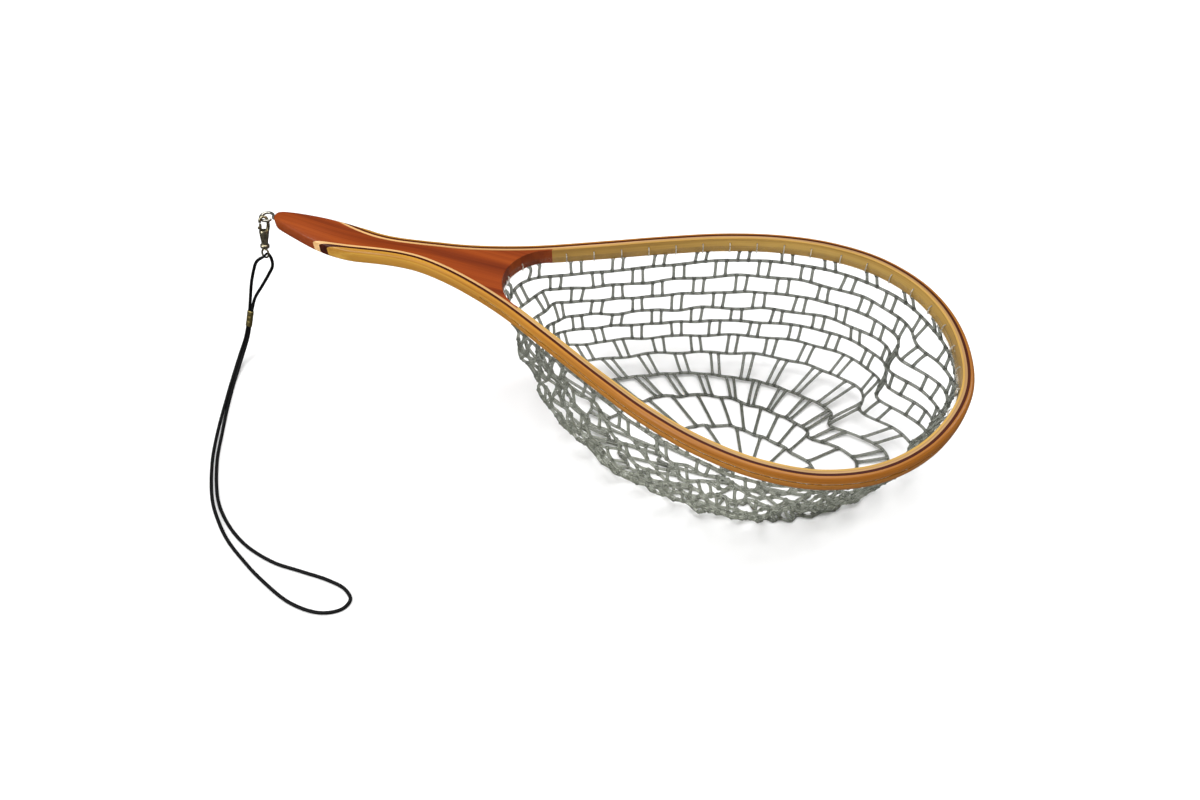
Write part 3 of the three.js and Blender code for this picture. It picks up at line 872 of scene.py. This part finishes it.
def bag_points(u, at):
    """Points of the bag at turns u (0..1) and row numbers at (0 at the rim)."""
    u, at = np.broadcast_arrays(np.asarray(u, float), np.asarray(at, float))
    where = (u % 1) * len(MOUTH)
    loop = np.vstack([MOUTH, MOUTH[:1]])
    rim = np.stack([np.interp(where, np.arange(len(loop)), axis) for axis in loop.T], axis=-1)
    near = smooth_step(-rim[..., 1], -40, 60)
    index = np.arange(LAST_ROW + 1)
    flat_rows = len(SCALES)
    z_far, z_near = ([r[0] for r in side] + [1.5] * flat_rows for side in (FAR, NEAR))
    t_far, t_near = ([r[1] for r in side] + [1] * flat_rows for side in (FAR, NEAR))
    z = np.interp(at, index, z_far) * (1 - near) + np.interp(at, index, z_near) * near
    towards = np.interp(at, index, t_far) * (1 - near) + np.interp(at, index, t_near) * near
    scale = np.interp(at, index, [1] * WALL_ROWS + SCALES)
    cx, cy, a, b = BOTTOM
    angle = np.arctan2((rim[..., 1] - cy) / b, (rim[..., 0] - cx) / a)
    low = np.stack([cx + a * np.cos(angle), cy + b * np.sin(angle)], axis=-1)
    low = HUB + (low - HUB) * scale[..., None]
    hang = np.sqrt(np.sin(np.pi * np.clip(at / 9, 0, 1)).clip(0))
    tip_tuck = smooth_step(rim[..., 0], 450, 570) * smooth_step(-rim[..., 1], -50, 20)
    throat_tuck = 1 - smooth_step(rim[..., 0], 226, 262)
    towards = towards + hang * (0.4 * tip_tuck + 0.22 * throat_tuck)
    fade, span = smooth_step(rim[..., 0], 240, 420), np.linalg.norm(low - rim, axis=-1).clip(40)
    towards = np.where(towards < 0, towards * fade * 40 / span, towards)
    flat = rim + (low - rim) * towards[..., None]
    outward = rim - np.array([cx - 60, 0])
    outward /= np.linalg.norm(outward, axis=-1)[..., None]
    left = near * smooth_step(rim[..., 0], 222, 262) * (1 - smooth_step(rim[..., 0], 330, 470))
    belly = np.sin(np.pi * np.clip((at - 0.3) / 8.5, 0, 1))
    flat = flat + outward * (left * belly * BELLY)[..., None]
    off = (u - FOLD_AT + 0.5) % 1 - 0.5
    depth = smooth_step(at, 0.6, 3.5) * (1 - smooth_step(at, 8, 11))
    fold = np.exp(-(off / 0.02) ** 2) - 0.45 * np.exp(-((off + 0.05) / 0.025) ** 2)
    flat = flat - outward * (fold * depth * FOLD_DEPTH)[..., None]
    free = smooth_step(at, 0.2, 2.5) * (1 - smooth_step(at, 10, 12.5))
    loose = smooth_step(-rim[..., 1], -30, 50)
    wild = 2 + 3.1 * loose
    out, lift, slip = (waves(u, at, seed) for seed in (3, 11, 5))
    around = np.stack([-outward[..., 1], outward[..., 0]], axis=-1)
    across, along = out * wild * 1.5 * free, slip * wild * 0.7 * free
    flat = flat + outward * across[..., None] + around * along[..., None]
    z = z + lift * (2.1 + 1.4 * loose) * free * smooth_step(z, 2, 25)
    return np.stack([flat[..., 0], flat[..., 1], np.maximum(z, 1.5)], axis=-1)


def bars_of(row_number):
    """Turns at which bars leave a ring downwards: pairs on the wall, single ones on the bottom."""
    shift = row_number % 2 * 0.5
    if row_number < PAIR_ROWS:
        offsets, every = (-HALF_GAP, HALF_GAP), 1
    else:
        offsets, every = (0,), 2 if row_number == LAST_ROW - 1 else 1
    return [((k + shift) / PAIRS + d) % 1 for k in range(0, PAIRS, every) for d in offsets]


def strands():
    """Every ring and bar of the net as (path, radius at each point, closed)."""
    for r in range(1, LAST_ROW + 1):
        count = 230 if r < WALL_ROWS else 150
        path = bag_points(np.arange(count) / count, r)
        yield path, STRAND_R + 0.1 * np.sin(np.arange(count) * 0.7 + r), True
    for r in range(LAST_ROW):
        for u in bars_of(r):
            down = np.linspace(0, 1, 9)
            path = bag_points(np.full(9, u), r + down)
            # The first point moves off the ring's line by about 0.002 mm.
            path[0] = path[0] * 0.999 + path[1] * 0.001
            length = np.linalg.norm(np.diff(path, axis=0), axis=1).sum()
            from_end = np.minimum(down, 1 - down) * length
            yield path, STRAND_R + FLARE * np.exp(-(from_end / FLARE_REACH) ** 2), False


def net_web():
    """All strands in one mesh. Rings are closed tubes.

    Bars are tubes with open, flared ends on the rings' lines. The ends stick out of the rings by 0.45 to
    1.07 mm.
    """
    sides, lowest = 8, 0.15
    turn = np.arange(sides) * 2 * math.pi / sides
    points, faces = [], []
    for path, radius, closed in strands():
        across, up = frames(path, closed)
        ring = across[:, None] * np.cos(turn)[:, None] + up[:, None] * np.sin(turn)[:, None]
        start = len(points)
        points += list((path[:, None] + ring * radius[:, None, None]).reshape(-1, 3))
        faces += [tuple(start + i for i in face) for face in grid_faces(len(path), sides, closed)]
    points = np.array(points)
    points[:, 2] = np.maximum(points[:, 2], lowest)
    return build("net_web", points, faces, 180)


def net_bag(material, band_material):
    """The strands and the clear band round the mouth, as one piece with two materials."""
    web = net_web()
    loop = even(MOUTH, 360, closed=True)
    along = np.roll(loop, -1, 0) - np.roll(loop, 1, 0)
    along /= np.linalg.norm(along, axis=1)[:, None]
    inner = np.stack([-along[:, 1], along[:, 0]], axis=1)
    middle = [430, 0]
    if ((loop + inner - middle) ** 2).sum() > ((loop - middle) ** 2).sum():
        inner = -inner
    high, low = TOP_Z - BAND_TOP, TOP_Z - BAND_TOP - BAND_H
    section = [
        (-0.4, high), (0.6, high), (BAND_WALL - 0.4, high - 0.8),
        (BAND_WALL - 0.4, low), (0.2, low - 0.8), (-0.4, low),
    ]
    points = [(*(p + n * d), z) for p, n in zip(loop, inner) for d, z in section]
    band = build("net_band", points, grid_faces(len(loop), len(section), True), 50)
    outward(band)
    for face in band.data.polygons:
        face.material_index = 1
    whole = join("net_rubber", [web, band])
    whole.data.materials.append(material)
    whole.data.materials.append(band_material)
    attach(whole, "net_frame")
    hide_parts("net_bag")
    return whole


# ---------------------------------------------------------------- the lacing
def lacing(material):
    """The line in the groove; at each hole a knot outside and a loop down the bag's rim inside."""
    groove_side = PLAN - INWARD * (OUTER_FACE - 0.75)
    kept = PLAN[:, 0] > GROOVE_START_X + 1.5
    height = TOP_Z - GROOVE_Z
    line = np.c_[groove_side[kept], np.full(kept.sum(), height)]
    line[:, 2] += 0.15 * np.sin(np.arange(len(line)) * 0.9)
    pieces = [tube("line", even(line, 700), 0.4, 8)]
    for i in HOLES:
        bow = [(-OUTER_FACE + 0.9, 0.6), (-OUTER_FACE + 0.3, 0), (-OUTER_FACE + 0.9, -0.6)]
        knot = [at_plan(i, d, height + dz) for d, dz in bow]
        pieces.append(tube("knot", knot, 0.55, 8))
        away = [(-1.5, 0), (0.7, 0), (1.9, -1.4), (2.3, -3.6), (2.1, -6.2), (1.4, -8.2), (0.5, -8.6)]
        loop = [at_plan(i, INNER_FACE + d, height + dz) for d, dz in away]
        pieces.append(tube("loop", spline(loop, 4), 0.5, 8))
    throat = throat_arc(1.9)
    for k in (14, 24, 34):
        x, y = throat[k]
        short = [(x, y, MID_Z + 1), (x + 0.5, y, MID_Z - 2.5), (x, y, MID_Z - 6.5)]
        pieces.append(tube("loop", short, 0.5, 8))
    whole = join("lacing_clear_line", pieces)
    return finish_piece(whole, "net_frame", "lacing_line", material)


# ---------------------------------------------------------------- metal fittings
def screw_eye(material):
    """The ring and its shank as one wire; the ring runs on round to just short of the shank."""
    ring_start, ring_end = 20, 346
    turns = np.radians(np.linspace(ring_start, ring_end, 60))
    ring = RING + np.stack([RING_R * np.cos(turns), RING_R * np.sin(turns), 0 * turns], axis=1)
    shank = [(20, 0, MID_Z), (4, 0, MID_Z), (-4, 0, MID_Z), (-6.2, 0.7, MID_Z), tuple(ring[0])]
    path = np.vstack([spline(shank, 8)[:-1], ring])
    radius = np.full(len(path), RING_WIRE)
    radius[-4:] = RING_WIRE * np.array([0.97, 0.88, 0.7, 0.35])
    whole = tube("screw_eye_wire", path, radius, 20, angle=60)
    return finish_piece(whole, "net_frame", "screw_eye", material)


# The snap's pieces are drawn upright under the pivot at the origin. The hook is then turned about its own
# length, and all of it is tilted and moved to the ring.
SNAP_PLACE = Matrix.Translation(row(PIVOT)) @ Matrix.Rotation(-TILT, 4, "X")
HOOK_PLACE = SNAP_PLACE @ Matrix.Rotation(math.radians(64), 4, "Z")
TO_OWN_FRAME = Matrix.Translation((MIDDLE_X / 1000, 0, 0))
PIN_X, PIN_Z = -2.3, -13.2


def hung(thing, place):
    """Moves a piece's mesh from the snap's own frame to its place on the ring."""
    thing.data.transform(TO_OWN_FRAME)
    thing.data.transform(place)
    return thing


def local_tube(name, path, radius, sides=16, closed=False):
    """A tube whose ends stay sharp."""
    return tube(name, path, radius, sides, closed, 60)


def snap_body(material):
    """The hook and its barrel, which is hollow for the swivel and slotted for the gate."""
    route = [(3, -11), (4.3, -6), (4, -0.8), (2, 3), (-0.9, 3.7), (-3, 2.3), (-3.6, 0.4), (-3.6, -1.6)]
    path = spline([(x, 0, z) for x, z in route], 10)
    last = len(path) - 1
    radius = np.interp(np.arange(last + 1), [0, 20, 60, last - 3, last], [1.7, 1.35, 1.3, 1.25, 0.6])
    hook = local_tube("hook", path, radius, 20)
    profile = [
        (0, -26), (3.4, -26), (3.8, -25.8), (4.1, -25.3), (4.15, -24.2), (4.1, -23.1),
        (3.7, -22.6), (3.1, -22.3), (2.95, -21.6), (3.0, -20.4), (3.25, -18.6), (3.65, -16.2),
        (4.05, -13.6), (4.35, -11.2), (4.3, -10), (3.9, -9.1), (2.6, -8.6), (0, -8.5),
    ]
    barrel = lathe("barrel", profile)
    chamber = lathe("chamber", [(0, -22.1), (2.3, -22.1), (2.3, -19.5), (0, -19.5)])
    bore = lathe("bore", [(0, -28), (1.3, -28), (1.3, -20), (0, -20)])
    slot = block("slot", (-4.9, 1.1), (-1.7, 1.7), (-15.2, -7.2))
    hole = local_tube("pin_hole", [(PIN_X, -6, PIN_Z), (PIN_X, 6, PIN_Z)], 0.62)
    outward(barrel)
    cut(barrel, [chamber, bore, slot, hole])
    discard(chamber, bore, slot, hole)
    thing = join("snap_hook", [barrel, hook])
    shade(thing.data, 40)
    return finish_piece(hung(thing, HOOK_PLACE), "snap", "snap_body", material)


def snap_gate(material):
    """The flat gate with its thumb nub."""
    outline = [
        (-3.3, -14.2), (-1.3, -14.2), (-1.4, -11), (-2.2, -7), (-2.6, -2.4), (-4.3, -2.4), (-4.2, -4.4),
        (-5.6, -5.4), (-5.4, -7), (-4, -8.4), (-3.9, -11),
    ]
    outline = even(spline(outline, 6, closed=True), 90, closed=True)
    count = len(outline)
    points = [(x, y, z) for y in (-0.8, 0.8) for x, z in outline]
    faces = grid_faces(2, count) + end_caps(2 * count, count)
    thing = build("gate_blade", points, faces)
    outward(thing)
    edge = thing.modifiers.new("edge", "BEVEL")
    edge.width = 0.00025
    edge.segments = 3
    edge.limit_method = "ANGLE"
    bake_modifiers(thing)
    shade(thing.data, 40)
    return finish_piece(hung(thing, HOOK_PLACE), "gate", "snap_gate", material)


def gate_pin(material):
    """The rivet that the gate turns on, turned upright and then laid across the barrel."""
    ends = [(0, -3), (0.42, -3), (0.5, -2.92), (0.5, 2.92), (0.42, 3), (0, 3)]
    thing = lathe("gate_rivet", ends, 24)
    place = Matrix.Translation((PIN_X / 1000, 0, PIN_Z / 1000))
    across = place @ Matrix.Rotation(math.radians(90), 4, "X")
    thing.data.transform(TO_OWN_FRAME.inverted() @ across @ TO_OWN_FRAME)
    outward(thing)
    return finish_piece(hung(thing, HOOK_PLACE), "snap", "gate_pin", material)


def gate_spring(material):
    """A coil round the pin, beside the gate."""
    coils, start, pitch = 3.4, 0.95, 0.16
    turns = np.linspace(0, coils * 2 * math.pi, 90)
    x, z = PIN_X + np.cos(turns), PIN_Z + np.sin(turns)
    path = np.stack([x, start + pitch * turns / (2 * math.pi), z], axis=1)
    thing = local_tube("gate_coil", path, 0.1, 8)
    return finish_piece(hung(thing, HOOK_PLACE), "snap", "gate_spring", material)


def swivel_eye(material):
    """The oval eye and its shank, whose head is held in the barrel's chamber."""
    half_wide, half_high, middle_z = 3.4, 4.08, -31.2
    turns = np.arange(64) * 2 * math.pi / 64
    ring = np.stack([half_wide * np.cos(turns), 0 * turns, middle_z + half_high * np.sin(turns)], axis=1)
    eye = local_tube("eye", ring, 0.9, 18, closed=True)
    profile = [
        (0, -28), (1.5, -28), (1.35, -27.2), (1.0, -26.6), (1.0, -21.15), (1.9, -21.15),
        (1.9, -20.2), (1.6, -20.05), (0, -20.05),
    ]
    shank = lathe("shank", profile, 32)
    outward(shank)
    thing = join("swivel_loop", [eye, shank])
    shade(thing.data, 40)
    return finish_piece(hung(thing, SNAP_PLACE), "swivel", "swivel_eye", material)


def ferrule(material):
    """A flattened two-lobed sleeve with two crimp marks on each face."""
    top, end = np.array([-36.75, -34.6, 46]), np.array([-38.55, -41.9, 32])
    lobe_apart, lobe_r, around = 1.25, 1.95, 72
    axis = (end - top) / np.linalg.norm(end - top)
    wide = np.array([1.0, 0, 0])
    wide -= axis * (wide @ axis)
    wide /= np.linalg.norm(wide)
    thick = np.cross(axis, wide)
    length = np.linalg.norm(end - top)
    turns = np.arange(around) * 2 * math.pi / around
    points = []
    stations = np.linspace(0, length, 60)
    for s in stations:
        dent = 0.1 * (math.exp(-((s - 5.2) / 0.9) ** 2) + math.exp(-((s - 10.2) / 0.9) ** 2))
        lip = min(s, length - s)
        wall = lobe_r - 0.25 * max(0, 1 - lip / 0.4) ** 2
        for a in turns:
            centre = lobe_apart if math.cos(a) > 0 else -lobe_apart
            x, y = centre + wall * math.cos(a), wall * math.sin(a)
            waist = 1 - 0.1 * math.exp(-(x / 0.8) ** 2)
            points.append(top + axis * s + wide * x + thick * y * (waist - dent))
    faces = grid_faces(len(stations), around) + end_caps(len(points), around)
    thing = build("crimp_sleeve", points, faces, 50)
    outward(thing)
    thing.data.materials.append(material)
    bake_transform(thing)
    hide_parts("cord_ferrule")
    return thing


# The bag's strands are painted 2.1 times paler low down and on the near side: painted light.
rubber = clear_rubber("bag_rubber", (0.25, 0.26, 0.23), 0.12, 0.78, painted_light_gain=2.1)
net_bag(rubber, clear_rubber("band_rubber", (0.97, 0.95, 0.88), 0.06, 0.97, 1.12, alpha=0.35))
lacing(clear_rubber("nylon_line", (0.85, 0.8, 0.68), 0.25, 0.6))
nickel = worn_metal("nickel_plate", (0.62, 0.6, 0.53), (0.34, 0.32, 0.27), 0.3)
brass = worn_metal("aged_brass", (0.68, 0.62, 0.42), (0.32, 0.28, 0.17), 0.34)
crimp = worn_metal("crimp_brass", (0.62, 0.5, 0.2), (0.36, 0.27, 0.09), 0.3)
screw_eye(nickel)
snap_body(brass)
snap_gate(brass)
gate_pin(nickel)
gate_spring(nickel)
swivel_eye(brass)
sleeve = ferrule(crimp)
